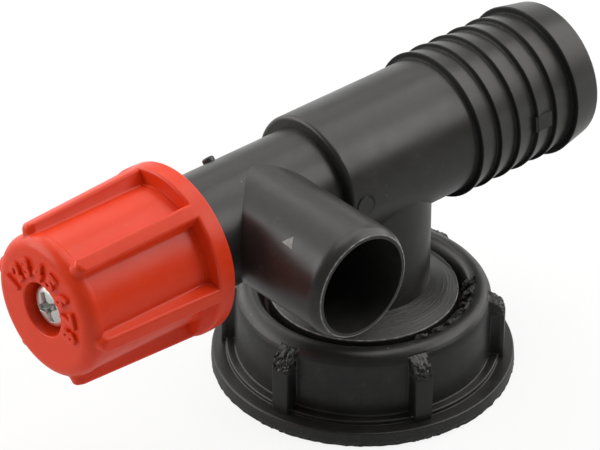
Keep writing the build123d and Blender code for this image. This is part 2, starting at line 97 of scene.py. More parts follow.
def make_mesh(name, points_mm, faces, sharp_degrees=40.0):
    """Makes an object from points in millimetres, smooth except at its sharp edges."""
    mesh = bpy.data.meshes.new(name)
    mesh.from_pydata((np.asarray(points_mm, float) * MM).tolist(), [], faces)
    mesh.validate()
    mesh.polygons.foreach_set("use_smooth", [True] * len(mesh.polygons))
    mesh.set_sharp_from_angle(angle=math.radians(sharp_degrees))
    made = bpy.data.objects.new(name, mesh)
    in_scene.link(made)
    return made


body_low, body_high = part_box("valve_body")
print("valve body box in mm:", [round(v / MM, 1) for v in (*body_low, *body_high)])

# %% [markdown]
# ## Camera
#
# The valve is seen from its knob side, from above, with a long lens from about a metre away, so
# the tubes stay nearly parallel. The camera's turn is written as two angles, and its axes are
# built from them. A track-to constraint would work too, but it hides the numbers.

# %% Place the camera
TURN = math.radians(-41.148)
TILT = math.radians(33.625)
CAMERA_PLACE = Vector((-533.18, -585.51, 567.49))
LENS_MM = 225.0
SENSOR_MM = 36.0
right = Vector((math.cos(TURN), math.sin(TURN), 0))
ahead = Vector((-math.sin(TURN) * math.cos(TILT), math.cos(TURN) * math.cos(TILT), -math.sin(TILT)))
up = right.cross(ahead)
lens = bpy.data.cameras.new("view")
lens.sensor_width = SENSOR_MM
lens.lens = LENS_MM
lens.clip_end = 50.0
camera = bpy.data.objects.new("view", lens)
axes = Matrix((right, up, -ahead)).transposed().to_4x4()
camera.matrix_world = Matrix.Translation(CAMERA_PLACE * MM) @ axes
in_scene.link(camera)
bpy.context.scene.camera = camera
bpy.context.scene.view_settings.view_transform = "Standard"
print("camera distance in m:", round(camera.location.length, 3))

# %% [markdown]
# ## Small helpers for shader nodes
#
# Node trees get long. These helpers add a node with its values in one line, or a whole step such as
# a bump, so the cells that follow can talk about the finish and not about wiring.


# %% Node helpers
def add(tree, kind, **values):
    """Adds a shader node. Names of sockets are given with _ for a space, the rest are properties."""
    node = tree.nodes.new(kind)
    for name, value in values.items():
        socket = node.inputs.get(name.replace("_", " ")) if node.inputs else None
        if socket is not None and not hasattr(node, name):
            socket.default_value = value
        else:
            setattr(node, name, value)
    return node


def math_node(tree, operation, first, second=None, clamp=False):
    """Adds a Math node whose inputs are numbers or sockets, and gives its output."""
    node = tree.nodes.new("ShaderNodeMath")
    node.operation = operation
    node.use_clamp = clamp
    for socket, value in zip(node.inputs, (first, second)):
        if value is None:
            continue
        if isinstance(value, (int, float)):
            socket.default_value = value
        else:
            tree.links.new(value, socket)
    return node.outputs[0]


def multiply(tree, first, second):
    """The product of two numbers or sockets."""
    return math_node(tree, "MULTIPLY", first, second)


def distance(tree, first, second):
    """Length of the step whose two parts are sockets."""
    squares = [math_node(tree, "POWER", part, 2.0) for part in (first, second)]
    return math_node(tree, "SQRT", math_node(tree, "ADD", *squares))


def per_mm(tree, size_mm):
    """Scale of a texture whose cells are size_mm across."""
    return math_node(tree, "DIVIDE", 1.0 / MM, size_mm)


def object_place(tree):
    """Place on the object, in metres."""
    return tree.nodes.new("ShaderNodeTexCoord").outputs["Object"]


def feeding(shader, name):
    """The output that feeds one of a shader's inputs so far."""
    return shader.inputs[name].links[0].from_socket


def add_bump(tree, shader, height, distance_mm, strength):
    """Adds a bump on top of the ones that the shader has."""
    node = add(tree, "ShaderNodeBump", Distance=distance_mm * MM, Strength=strength)
    tree.links.new(height, node.inputs["Height"])
    if shader.inputs["Normal"].is_linked:
        tree.links.new(feeding(shader, "Normal"), node.inputs["Normal"])
    tree.links.new(node.outputs["Normal"], shader.inputs["Normal"])
    return node


def mapped(tree, value, low, high, to_low=0.0, to_high=1.0):
    """Maps a value from one range to another, smoothly at both ends."""
    node = tree.nodes.new("ShaderNodeMapRange")
    node.interpolation_type = "SMOOTHSTEP"
    tree.links.new(value, node.inputs["Value"])
    for name, number in (("From Min", low), ("From Max", high), ("To Min", to_low), ("To Max", to_high)):
        node.inputs[name].default_value = number
    return node.outputs["Result"]


def mix_colour(tree, factor, first, second):
    """Mixes two colours. Each is a colour or a socket."""
    node = tree.nodes.new("ShaderNodeMix")
    node.data_type = "RGBA"
    sockets = (node.inputs["Factor"], node.inputs[6], node.inputs[7])
    for socket, value in zip(sockets, (factor, first, second)):
        if isinstance(value, (int, float, tuple)):
            socket.default_value = value
        else:
            tree.links.new(value, socket)
    return node.outputs[2]


def new_group(name, inputs, outputs):
    """Makes an empty shader node group with named sockets and gives (tree, input node, output node)."""
    tree = bpy.data.node_groups.new(name, "ShaderNodeTree")
    for label, value in inputs.items():
        socket = tree.interface.new_socket(label, in_out="INPUT", socket_type="NodeSocketFloat")
        socket.default_value = value
    for label in outputs:
        tree.interface.new_socket(label, in_out="OUTPUT", socket_type="NodeSocketFloat")
    return tree, tree.nodes.new("NodeGroupInput"), tree.nodes.new("NodeGroupOutput")


def use_group(tree, group, **values):
    """Places a node group in a material with its own values."""
    node = tree.nodes.new("ShaderNodeGroup")
    node.node_tree = group
    for name, value in values.items():
        node.inputs[name.replace("_", " ")].default_value = value
    return node


print("helpers ready")

# %% [markdown]
# ## Effect: the skin of a moulded part
#
# Plastic copies the steel mould it was pressed against: a very fine grain, over broad, faint
# hollows where thick walls shrank. Both are noise at two sizes. They are one group, because the
# body, the nut and the knob came out of the same kind of mould. Coordinates are in metres, so the
# size input divides them and is read as millimetres.

# %% Group for the moulded skin
skin, skin_in, skin_out = new_group(
    "moulded skin", {"Grain mm": 0.35, "Shrink mm": 9.0}, ("Grain", "Shrink", "Patches"))
PATCH_SHARE = 0.37
skin_place = object_place(skin)


def skin_noise(size_mm, detail, roughness):
    """Noise whose cells are size_mm across."""
    node = add(skin, "ShaderNodeTexNoise", Detail=detail, Roughness=roughness)
    skin.links.new(skin_place, node.inputs["Vector"])
    skin.links.new(per_mm(skin, size_mm), node.inputs["Scale"])
    return node.outputs["Fac"]


skin.links.new(skin_noise(skin_in.outputs["Grain mm"], 3.0, 0.6), skin_out.inputs["Grain"])
skin.links.new(skin_noise(skin_in.outputs["Shrink mm"], 2.0, 0.5), skin_out.inputs["Shrink"])
patches = skin_noise(multiply(skin, skin_in.outputs["Shrink mm"], PATCH_SHARE), 4.0, 0.65)
skin.links.new(mapped(skin, patches, 0.35, 0.7), skin_out.inputs["Patches"])
print("skin group nodes:", len(skin.nodes))

# %% [markdown]
# ## Effect: handling scratches
#
# Parts tumble in boxes on their way to the shop and pick up short hairlines. A line is where a
# stretched noise crosses one value. Lines in three directions and a patch mask, so that they come
# in groups, look less like a pattern than a wave texture does.

# %% Group for the scratches
scratches, scratch_in, scratch_out = new_group(
    "handling scratches", {"Size mm": 5.0, "Width": 0.012, "Amount": 0.5}, ("Mask",))
SCRATCH_DIRECTIONS = ((0.5, (1.0, 7.0, 2.0)), (1.9, (6.0, 1.0, 1.5)), (2.6, (2.0, 1.2, 8.0)))
SCRATCH_GROUPS_MM = 7.0
scratch_place = object_place(scratches)
lines = []
for turn, stretch in SCRATCH_DIRECTIONS:
    spin = add(scratches, "ShaderNodeMapping")
    spin.inputs["Rotation"].default_value = (turn, turn * 0.7, turn * 1.3)
    spin.inputs["Scale"].default_value = stretch
    scratches.links.new(scratch_place, spin.inputs["Vector"])
    wisp = add(scratches, "ShaderNodeTexNoise", Detail=1.5, Roughness=0.4)
    scratches.links.new(spin.outputs["Vector"], wisp.inputs["Vector"])
    scratches.links.new(per_mm(scratches, scratch_in.outputs["Size mm"]), wisp.inputs["Scale"])
    off = math_node(scratches, "ABSOLUTE", math_node(scratches, "SUBTRACT", wisp.outputs["Fac"], 0.5))
    near = math_node(scratches, "DIVIDE", off, scratch_in.outputs["Width"])
    lines.append(math_node(scratches, "SUBTRACT", 1.0, near, clamp=True))
found = math_node(scratches, "MAXIMUM", math_node(scratches, "MAXIMUM", lines[0], lines[1]), lines[2])
where = add(scratches, "ShaderNodeTexNoise", Scale=1.0 / (SCRATCH_GROUPS_MM * MM), Detail=2.0)
scratches.links.new(scratch_place, where.inputs["Vector"])
grouped = multiply(scratches, found, mapped(scratches, where.outputs["Fac"], 0.52, 0.68))
scratches.links.new(multiply(scratches, grouped, scratch_in.outputs["Amount"]), scratch_out.inputs["Mask"])
print("scratch directions:", len(lines))

# %% [markdown]
# ## Effect: specks of dust and pale flecks
#
# Black plastic shows every pale crumb. Each cell of a Voronoi texture holds one point, and only
# the cells whose random colour is above a limit show theirs. That keeps the specks few and
# uneven, as real ones are.

# %% Group for the specks
specks, speck_in, speck_out = new_group(
    "pale specks", {"Spacing mm": 3.0, "Radius": 0.05, "Share": 0.3}, ("Mask",))
cells = add(specks, "ShaderNodeTexVoronoi")
specks.links.new(object_place(specks), cells.inputs["Vector"])
specks.links.new(per_mm(specks, speck_in.outputs["Spacing mm"]), cells.inputs["Scale"])
dot = math_node(specks, "LESS_THAN", cells.outputs["Distance"], speck_in.outputs["Radius"])
parts_of_colour = add(specks, "ShaderNodeSeparateColor")
specks.links.new(cells.outputs["Color"], parts_of_colour.inputs[0])
shown = math_node(specks, "LESS_THAN", parts_of_colour.outputs[0], speck_in.outputs["Share"])
specks.links.new(multiply(specks, dot, shown), speck_out.inputs["Mask"])
print("speck group nodes:", len(specks.nodes))

# %% [markdown]
# ## Effect: turning marks around the upright axis
#
# The collar cone and the washers carry fine rings from the lathe that cut the mould or the metal.
# Radius and height from the axis go into noise at a fine size and the angle at a coarse one, so
# the noise smears into arcs that begin and end.

# %% Group for the turning marks
turning, turning_in, turning_out = new_group("turning marks", {"Ring mm": 0.3}, ("Rings",))
CELLS_PER_RADIAN = 2.6
split = add(turning, "ShaderNodeSeparateXYZ")
turning.links.new(object_place(turning), split.inputs[0])
radius = distance(turning, split.outputs[0], split.outputs[1])
angle = math_node(turning, "ARCTAN2", split.outputs[1], split.outputs[0])
per_ring = per_mm(turning, turning_in.outputs["Ring mm"])
rolled = add(turning, "ShaderNodeCombineXYZ")
turning.links.new(multiply(turning, radius, per_ring), rolled.inputs[0])
turning.links.new(multiply(turning, split.outputs[2], per_ring), rolled.inputs[1])
turning.links.new(multiply(turning, angle, CELLS_PER_RADIAN), rolled.inputs[2])
arcs = add(turning, "ShaderNodeTexNoise", Scale=1.0, Detail=3.0, Roughness=0.6)
turning.links.new(rolled.outputs[0], arcs.inputs["Vector"])
turning.links.new(arcs.outputs["Fac"], turning_out.inputs["Rings"])
print("turning group nodes:", len(turning.nodes))

# %% [markdown]
# ## Materials of moulded plastic
#
# The body and nut are black polypropylene: nearly black in itself, and grey only because its
# satin skin reflects the room. So the base stays dark and the roughness does the work. One recipe
# serves body, nut and knob, with the effect groups placed at each one's own values.

# %% Recipe for a moulded plastic
FLECK_COLOUR = (0.3, 0.29, 0.27, 1)


def moulded_plastic(name, colour, pale, rough, shine, grain, shrink, scratch, fleck):
    """Makes a moulded plastic from its colour, paler patches, roughness, shine and each effect's strength."""
    made = bpy.data.materials.new(name)
    made.use_nodes = True
    tree = made.node_tree
    shader = tree.nodes["Principled BSDF"]
    shader.inputs["Specular IOR Level"].default_value = shine
    surface = use_group(tree, skin)
    lines_mask = use_group(tree, scratches, Amount=scratch).outputs["Mask"]
    dots = use_group(tree, specks, Share=fleck).outputs["Mask"]
    ground = mix_colour(tree, surface.outputs["Patches"], (*colour, 1), (*pale, 1))
    scuff_colour = (*[min(1, c * 3 + 0.05) for c in colour], 1)
    scuffed = mix_colour(tree, multiply(tree, lines_mask, 0.5), ground, scuff_colour)
    flecked = mix_colour(tree, multiply(tree, dots, 0.6), scuffed, FLECK_COLOUR)
    tree.links.new(flecked, shader.inputs["Base Color"])
    satin = mapped(tree, surface.outputs["Shrink"], 0.3, 0.7, rough - 0.04, rough + 0.04)
    roughness = math_node(tree, "ADD", satin, multiply(tree, lines_mask, 0.15))
    tree.links.new(roughness, shader.inputs["Roughness"])
    add_bump(tree, shader, surface.outputs["Grain"], 0.02, grain)
    add_bump(tree, shader, surface.outputs["Shrink"], 0.35, shrink)
    return made, tree, shader


body_plastic, body_tree, body_shader = moulded_plastic(
    "black moulded body", (0.020, 0.020, 0.019), (0.025, 0.024, 0.023), 0.33, 0.42, 0.5, 0.10, 0.5, 0.10)
nut_plastic, nut_tree, nut_shader = moulded_plastic(
    "black moulded nut", (0.009, 0.009, 0.0085), (0.014, 0.0135, 0.013), 0.36, 0.46, 0.6, 0.12, 0.7, 0.16)
knob_plastic = moulded_plastic(
    "red moulded knob", (0.68, 0.037, 0.006), (0.70, 0.043, 0.009), 0.32, 0.28, 0.35, 0.08, 0.3, 0.0)[0]
print("moulded plastics:", body_plastic.name, "|", nut_plastic.name, "|", knob_plastic.name)

# %% [markdown]
# ### Body: rings on the collar, painted edge highlights and painted shade
#
# Only the collar's cone shows turning marks, so they are masked by height. Two sharp edges get a painted
# highlight, the collar's and the spout mouth's, as a rounded edge would catch light. Each is a thin ring,
# found by its distance from its own axis and its place along it.
# The grooves behind the barbs are made rougher and get painted shade, dark as shade in a crease. The barbs
# stand at even steps, so a ping-pong of the place along the tube gives the distance to the nearest one. The
# round gate mark on the tube gets the same roughness and a painted shadow along the right side of its rim.

# %% Add the body's rings, painted highlights and painted shade
GROOVE_SHADE_COLOUR = (0.003, 0.003, 0.003, 1)
EDGE_HIGHLIGHT_COLOUR = (0.34, 0.34, 0.33, 1)
body_split = add(body_tree, "ShaderNodeSeparateXYZ")
body_tree.links.new(object_place(body_tree), body_split.inputs[0])
rings = use_group(body_tree, turning, Ring_mm=0.45).outputs["Rings"]
below_cone_top = mapped(body_tree, body_split.outputs[2], (CONE_TOP - 0.3) * MM, CONE_TOP * MM, 1.0, 0.0)
add_bump(body_tree, body_shader, multiply(body_tree, rings, below_cone_top), 0.12, 0.8)


def from_place(axis, place_mm):
    """Distance along one of the body's axes from a place in mm, with its sign."""
    return math_node(body_tree, "SUBTRACT", body_split.outputs[axis], place_mm * MM)


def ring_mask(first, first_place, second, second_place, radius, axis, axis_place, width=0.22):
    """Mask of a thin ring: near a radius from an axis, and near a place along that axis. All in mm."""
    away = distance(body_tree, from_place(first, first_place), from_place(second, second_place))
    off = math_node(body_tree, "SUBTRACT", away, radius * MM)
    parts = [math_node(body_tree, "ABSOLUTE", part) for part in (off, from_place(axis, axis_place))]
    far = math_node(body_tree, "ADD", *parts)
    return mapped(body_tree, far, width * 0.5 * MM, width * 2.2 * MM, 1.0, 0.0)


# Painted shade: the grooves behind the barbs are darkened as shade in a crease, and are also rougher.
to_barb = math_node(body_tree, "PINGPONG", from_place(0, BARB_FIRST_X), BARB_PITCH / 2 * MM)
to_last = math_node(body_tree, "ABSOLUTE", from_place(0, BARB_LAST_X))
to_nearest = math_node(body_tree, "MINIMUM", to_barb, to_last)
in_groove = mapped(body_tree, to_nearest, 0.18 * MM, 0.48 * MM, 1.0, 0.0)
on_tail = mapped(body_tree, body_split.outputs[0], TAIL_START * MM, (TAIL_START + 0.5) * MM)
before_mouth = mapped(body_tree, body_split.outputs[0], (TAIL_END - 0.5) * MM, TAIL_END * MM, 1.0, 0.0)
shaded_groove = multiply(body_tree, in_groove, multiply(body_tree, on_tail, before_mouth))
# Painted shadow: a dark arc along the right side of the gate mark's rim.
gate_rim_shadow = ring_mask(0, GATE_X, 2, GATE_Z, GATE_R, 1, -MAIN_TUBE_R - 0.1, 0.36)
right_half = mapped(body_tree, body_split.outputs[0], (GATE_X + 0.2) * MM, (GATE_X + 1.2) * MM)
shaded_groove = math_node(body_tree, "MAXIMUM", shaded_groove, multiply(body_tree, gate_rim_shadow, right_half))
duller = math_node(
    body_tree, "ADD", feeding(body_shader, "Roughness"), multiply(body_tree, shaded_groove, 0.42), clamp=True)
body_tree.links.new(duller, body_shader.inputs["Roughness"])
# Painted highlight: thin pale rings on the collar's edge and the spout mouth's edge, where a rounded edge
# would catch light.
collar_edge_highlight = ring_mask(0, 0.0, 1, 0.0, COLLAR_R, 2, COLLAR_TOP)
mouth_edge_highlight = ring_mask(0, SPOUT_X, 2, AXIS_HEIGHT, SPOUT_MOUTH_R, 1, SPOUT_MOUTH_Y, 0.16)
edge_highlight = math_node(body_tree, "MAXIMUM", collar_edge_highlight, mouth_edge_highlight)
uneven = use_group(body_tree, skin, Shrink_mm=5.0).outputs["Patches"]
edge_highlight_mask = multiply(body_tree, edge_highlight, mapped(body_tree, uneven, 0.0, 1.0, 0.35, 0.9))
# Painted shade on the grooves and on the gate mark's right rim.
with_painted_shade = mix_colour(
    body_tree, multiply(body_tree, shaded_groove, 0.85), feeding(body_shader, "Base Color"), GROOVE_SHADE_COLOUR)
body_tree.links.new(mix_colour(body_tree, edge_highlight_mask, with_painted_shade, EDGE_HIGHLIGHT_COLOUR), body_shader.inputs["Base Color"])
print("body material nodes:", len(body_tree.nodes))

# %% [markdown]
# ### Nut: paler where the plastic tore, and a painted highlight on its lip
#
# Where the moulding tore, the plastic stretched and turned paler and rougher. The nut's mesh carries a value
# called wear_and_sheen on its points, and the material reads it. A mask made of noise alone could not know
# where the tears are. The same value also paints a highlight along the top edge of the lip in the nut's
# mouth.

# %% Add the nut's torn places and the lip's painted highlight
TORN_AND_SHEEN_COLOUR = (0.13, 0.13, 0.125, 1)
CRUMB_MM = 0.5
torn_and_sheen_value = add(nut_tree, "ShaderNodeAttribute", attribute_name="wear_and_sheen").outputs["Fac"]
crumbs = add(nut_tree, "ShaderNodeTexNoise", Scale=1.0 / (CRUMB_MM * MM), Detail=3.0, Roughness=0.7)
nut_tree.links.new(object_place(nut_tree), crumbs.inputs["Vector"])
torn_and_sheen_mask = multiply(nut_tree, torn_and_sheen_value, mapped(nut_tree, crumbs.outputs["Fac"], 0.46, 0.60))
paler = mix_colour(nut_tree, torn_and_sheen_mask, feeding(nut_shader, "Base Color"), TORN_AND_SHEEN_COLOUR)
nut_tree.links.new(paler, nut_shader.inputs["Base Color"])
rougher = math_node(
    nut_tree, "ADD", feeding(nut_shader, "Roughness"), multiply(nut_tree, torn_and_sheen_value, 0.2), clamp=True)
nut_tree.links.new(rougher, nut_shader.inputs["Roughness"])
crumb_bump = add_bump(nut_tree, nut_shader, crumbs.outputs["Fac"], CRUMB_MM, 1.0)
nut_tree.links.new(torn_and_sheen_value, crumb_bump.inputs["Strength"])
print("nut material nodes:", len(nut_tree.nodes))

# %% [markdown]
# ## Materials of the small parts
#
# Inside the neck sit pieces of acetal, rubber, brass and steel. They show only in the mouths and from below,
# but each still gets its own finish: a base colour that varies a little, a roughness from noise and a fine
# bump. The zinc material also darkens the screw's cross as painted shade, by a value called pit_shade, which
# only the screw's mesh carries.

# %% Recipe for the other materials
def small_part(name, colour, second, metallic, rough, size_mm, bump_mm, rings_mm=None):
    """Makes a plain finish with variation, and with turning marks where rings_mm is given."""
    made = bpy.data.materials.new(name)
    made.use_nodes = True
    tree = made.node_tree
    shader = tree.nodes["Principled BSDF"]
    shader.inputs["Metallic"].default_value = metallic
    surface = use_group(tree, skin, Grain_mm=size_mm, Shrink_mm=size_mm * 12)
    source = surface.outputs["Grain"]
    if rings_mm:
        source = use_group(tree, turning, Ring_mm=rings_mm).outputs["Rings"]
    ground = mix_colour(tree, surface.outputs["Patches"], (*colour, 1), (*second, 1))
    tree.links.new(ground, shader.inputs["Base Color"])
    tree.links.new(mapped(tree, source, 0.3, 0.7, rough - 0.06, rough + 0.06), shader.inputs["Roughness"])
    add_bump(tree, shader, source, bump_mm, 0.6)
    return made


# Slot, name, two colours, metallic, roughness, grain and bump in mm, and on turned pieces rings in mm.
SMALL_PARTS = (
    ("acetal", "machined acetal", (0.70, 0.70, 0.67), (0.64, 0.64, 0.60), 0.0, 0.38, 0.4, 0.02, 0.35),
    ("seal_rubber", "black seal rubber", (0.018, 0.018, 0.018), (0.028, 0.027, 0.026), 0.0, 0.62, 0.3, 0.03),
    ("slip_fibre", "red-brown fibre", (0.055, 0.020, 0.014), (0.085, 0.034, 0.024), 0.0, 0.75, 0.5, 0.05),
    ("dark_steel", "blackened steel", (0.045, 0.045, 0.048), (0.07, 0.068, 0.066), 0.7, 0.42, 0.25, 0.02),
    ("spring_steel", "spring steel", (0.52, 0.52, 0.52), (0.60, 0.60, 0.59), 1.0, 0.28, 0.2, 0.01, 0.12),
    ("zinc_steel", "zinc plate", (0.80, 0.80, 0.77), (0.90, 0.89, 0.85), 1.0, 0.34, 0.22, 0.03),
    ("brass", "turned brass", (0.72, 0.49, 0.19), (0.66, 0.42, 0.15), 1.0, 0.30, 0.2, 0.01, 0.15),
)
FINISHES = {slot: small_part(*values) for slot, *values in SMALL_PARTS}
FINISHES.update(body_plastic=body_plastic, nut_plastic=nut_plastic, knob_plastic=knob_plastic)
zinc_tree = FINISHES["zinc_steel"].node_tree
zinc_shader = zinc_tree.nodes["Principled BSDF"]
# Painted shade: points deep in the screw's cross are darkened, as shade falls there.
PIT_SHADE_COLOUR = (0.13, 0.13, 0.12, 1)
pit_shade_value = add(zinc_tree, "ShaderNodeAttribute", attribute_name="pit_shade").outputs["Fac"]
in_pit_shade = multiply(zinc_tree, pit_shade_value, 0.8)
pit_shaded = mix_colour(zinc_tree, in_pit_shade, feeding(zinc_shader, "Base Color"), PIT_SHADE_COLOUR)
zinc_tree.links.new(pit_shaded, zinc_shader.inputs["Base Color"])
for part in frame["record"]["subparts"]:
    target = nodes[part["node"]]
    if not target.data.materials:
        target.data.materials.append(None)
    for index in range(len(target.material_slots)):
        target.material_slots[index].material = FINISHES[part["material_slot"]]

# %% [markdown]
# ## Surfaces turned from a profile
#
# Knob and nut are both bodies of revolution with six plates or ribs on them. Booleans could join
# the ribs to a lathe shape, but they leave hard seams. Here one grid makes the whole piece: rows
# follow the profile, columns go round, and a rib is a smooth rise of the grid. The columns crowd
# together at each rib's sides, where the form turns quickly.


# %% Grid tools
RIB_COUNT = 6
RIB_PITCH = 2 * math.pi / RIB_COUNT


def profile_points(corners, step):
    """Turns a closed run of (along, radius, round, name) corners into points with rounded corners."""
    out = []
    count = len(corners)
    for i, (u, v, r, tag) in enumerate(corners):
        here = np.array((u, v), float)
        before = np.array(corners[i - 1][:2], float)
        after = np.array(corners[(i + 1) % count][:2], float)
        back = (before - here) / np.linalg.norm(before - here)
        on = (after - here) / np.linalg.norm(after - here)
        half = math.acos(max(-1, min(1, float(back @ on)))) / 2
        if r > 0:
            reach = r / math.tan(half)
            centre = here + (back + on) / np.linalg.norm(back + on) * r / math.sin(half)
            first = here + back * reach - centre
            last = here + on * reach - centre
            turns = max(3, int(math.ceil((math.pi - 2 * half) / math.radians(15))))
            full = math.acos(max(-1, min(1, float(first @ last) / r / r)))
            for k in range(turns + 1):
                a = full * k / turns
                arm = (math.sin(full - a) * first + math.sin(a) * last) / math.sin(full)
                out.append((*(centre + arm), tag))
        else:
            out.append((u, v, tag))
    filled = []
    for i, (u, v, tag) in enumerate(out):
        filled.append((u, v, tag))
        nu, nv, _ = out[(i + 1) % len(out)]
        pieces = int(math.hypot(nu - u, nv - v) // step)
        for k in range(1, pieces + 1):
            f = k / (pieces + 1)
            filled.append((u + (nu - u) * f, v + (nv - v) * f, tag))
    return filled


def rib_columns(half_offsets, between):
    """Columns from one rib to the next, as (kind, value). On a rib the value is mm from its middle."""
    offsets = [-t for t in half_offsets[:0:-1]] + half_offsets
    return [("rib", t) for t in offsets] + [("gap", (k + 1) / (between + 1)) for k in range(between)]


def column_angle(kind, value, radius, zone):
    """Angle of a column from the rib's middle, so that a rib's sides stay parallel at every radius."""
    edge = float(np.arcsin(zone / radius))
    if kind == "rib":
        return float(np.arcsin(np.clip(value / radius, -1, 1)))
    return edge + (RIB_PITCH - 2 * edge) * value


def grid_faces(rows, columns):
    """Faces of a grid that is closed both ways."""
    faces = []
    for i in range(rows):
        a, b = i * columns, ((i + 1) % rows) * columns
        for j in range(columns):
            k = (j + 1) % columns
            faces.append((a + j, a + k, b + k, b + j))
    return faces


def wall_rise(inside, top, root_round, edge_round, draft=0.12):
    """Height of a wall with a rounded foot and a rounded edge, by the distance inside its outline."""
    inside = np.asarray(inside, float)
    top = np.broadcast_to(np.asarray(top, float), inside.shape)
    root = np.minimum(root_round, top * 0.45)
    edge = np.minimum(edge_round, top * 0.5)
    foot = root - np.sqrt(np.maximum(root ** 2 - np.clip(inside + root, 0, root) ** 2, 0))
    ramp = root + (top - edge - root) * np.clip(inside / draft, 0, 1)
    into = np.clip(inside - draft, 0, edge)
    crown = top - edge + np.sqrt(np.maximum(edge ** 2 - (edge - into) ** 2, 0))
    on_wall = np.where(inside < draft, ramp, np.where(inside < draft + edge, crown, top))
    return np.where(inside <= 0, np.where(inside <= -root, 0, foot), on_wall)


print("grid tools ready")

# %% [markdown]
# ## The hand knob
#
# A deep red cap: a thick rim at the back, six ribs that run forward from it and end in round
# noses, and a flat front with a recess for the screw. It is laid out as a height over the
# cap's surface: the rim and the six ribs are one raised shape, the pockets between them are what
# is left. That gives the soft fillets of the real moulding in one piece.

# %% Knob sizes
KNOB_REAR = 60.8
KNOB_RIM_FRONT = 66.0
KNOB_FRONT = 102.3
KNOB_R = 18.2
KNOB_RIM_R = 22.0
KNOB_RIB_FRONT_R = 20.5
KNOB_BAND_LIFT = 0.22
KNOB_RIB_TIP = 100.1
KNOB_EDGE = 3.5
KNOB_BORE_R = 16.2
KNOB_WEB_BACK = 88.0
RECESS_R = 6.9
RECESS_FLOOR = 95.5
SCREW_HOLE_R = 3.0
RIB_HALF = 2.2
RIB_FIRST = 56.0
RIB_ZONE = 3.6
print("knob length in mm:", round(KNOB_FRONT - KNOB_REAR, 1))


# %% Knob rows
def knob_floor(s):
    """Radius of the cap's surface along the axis: the pockets' floor, then a proud band with a round edge."""
    into = np.clip(s - (KNOB_FRONT - KNOB_EDGE), 0, KNOB_EDGE)
    band = KNOB_BAND_LIFT * np.clip((s - (KNOB_FRONT - 4.3)) / 0.25, 0, 1)
    return KNOB_R - KNOB_BAND_LIFT + band - KNOB_EDGE + np.sqrt(KNOB_EDGE ** 2 - into ** 2)


def spread(low, high, step):
    """Evenly spread numbers from low to high, both ends in."""
    return list(np.linspace(low, high, max(2, int(round((high - low) / step)) + 1)))


side_places = (
    [KNOB_RIM_FRONT - v for v in (2.6, 1.6, 0.92, 0.75, 0.55, 0.35, 0.2, 0.12, 0.0)]
    + [KNOB_RIM_FRONT + v for v in (0.15, 0.35, 0.6, 0.9, 1.1, 1.18)]
    + spread(68.0, 94.0, 2.0) + spread(94.6, 97.6, 0.3)
    + [97.75, 97.9, 98.0, 98.06, 98.12, 98.18, 98.25, 98.35, 98.5, 98.65]
    + spread(98.8, 100.5, 0.17)
    + [KNOB_FRONT - KNOB_EDGE + KNOB_EDGE * math.sin(math.radians(a))
       for a in (30, 37, 44, 51, 58, 65, 72, 79, 85)]
)
front_corners = [
    (KNOB_FRONT, KNOB_R - KNOB_EDGE, 0.0, "front"), (KNOB_FRONT, RECESS_R, 0.5, "front"),
    (RECESS_FLOOR, RECESS_R, 0.4, "recess"), (RECESS_FLOOR, SCREW_HOLE_R, 0.3, "recess"),
    (KNOB_WEB_BACK, SCREW_HOLE_R, 0.0, "inside"), (KNOB_WEB_BACK, KNOB_BORE_R, 0.8, "inside"),
    (KNOB_REAR, KNOB_BORE_R, 0.5, "inside"), (KNOB_REAR, KNOB_RIM_R, 0.6, "rim"),
]
back = profile_points(front_corners, 1.0)
last_rim = max(i for i, row in enumerate(back) if row[2] == "rim" and row[0] <= 62.01)
rest_rows = back[:last_rim + 1]
side_rows = [(s, None, "side") for s in side_places]
knob_rows = side_rows + rest_rows
print("knob rows:", len(knob_rows), "of which on the side:", len(side_rows))


# %% Knob surface
def knob_grid():
    """Points of the knob's grid in millimetres, and its size."""
    half = [0, 0.5, 0.95, 1.2, 1.4, 1.6, 1.75, 1.88, 1.98, 2.05, 2.08, 2.2, 2.28, 2.4, 2.55, 2.75, 3.0,
            RIB_ZONE]
    columns = rib_columns(half, 18)
    slope = (KNOB_RIB_FRONT_R - KNOB_RIM_R) / (KNOB_RIB_TIP - KNOB_RIM_FRONT)
    points = []
    for s, fixed, _ in knob_rows:
        for rib in range(RIB_COUNT):
            middle = math.radians(RIB_FIRST) + RIB_PITCH * rib
            for kind, value in columns:
                if fixed is not None:
                    rho = fixed
                    angle_at = max(fixed, 12.0)
                else:
                    floor = float(knob_floor(s))
                    top = KNOB_RIM_R + slope * max(0.0, s - KNOB_RIM_FRONT)
                    nose = max(0.0, s - (KNOB_RIB_TIP - RIB_HALF))
                    away = abs(value) if kind == "rib" else RIB_ZONE
                    in_rib = RIB_HALF - math.hypot(away, 0.85 * nose)
                    in_rim = KNOB_RIM_FRONT - s
                    steep = 0.5 + 0.5 * math.tanh(4 * (nose - away) + 1) if nose > 0 else 0.0
                    rise = max(float(wall_rise(in_rib, top - floor, 0.5, 0.7 + 1.3 * steep)),
                               float(wall_rise(in_rim, top - floor, 0.5, 0.8)))
                    ledge = 0.22 * (1 if KNOB_RIM_FRONT - 0.2 < s < KNOB_RIM_FRONT + 1.15 else 0)
                    rho = floor + max(rise, ledge)
                    angle_at = rho
                phi = middle + column_angle(kind, value, angle_at, RIB_ZONE)
                points.append((-s, -rho * math.cos(phi), AXIS_HEIGHT + rho * math.sin(phi)))
    return points, len(knob_rows), RIB_COUNT * len(columns)


knob_points, row_count, column_count = knob_grid()
knob = make_mesh("knob_shell", knob_points, grid_faces(row_count, column_count), 50.0)
print("knob grid:", row_count, "x", column_count)

# %% [markdown]
# ### Raised marks
#
# The cap and the nut carry raised characters from the mould. Here they are plain numbers, as on a
# dial. Blender's own font gives their outline; the solid numbers are then bent onto the surface
# by moving their points, which keeps them crisp where a projected texture would blur.


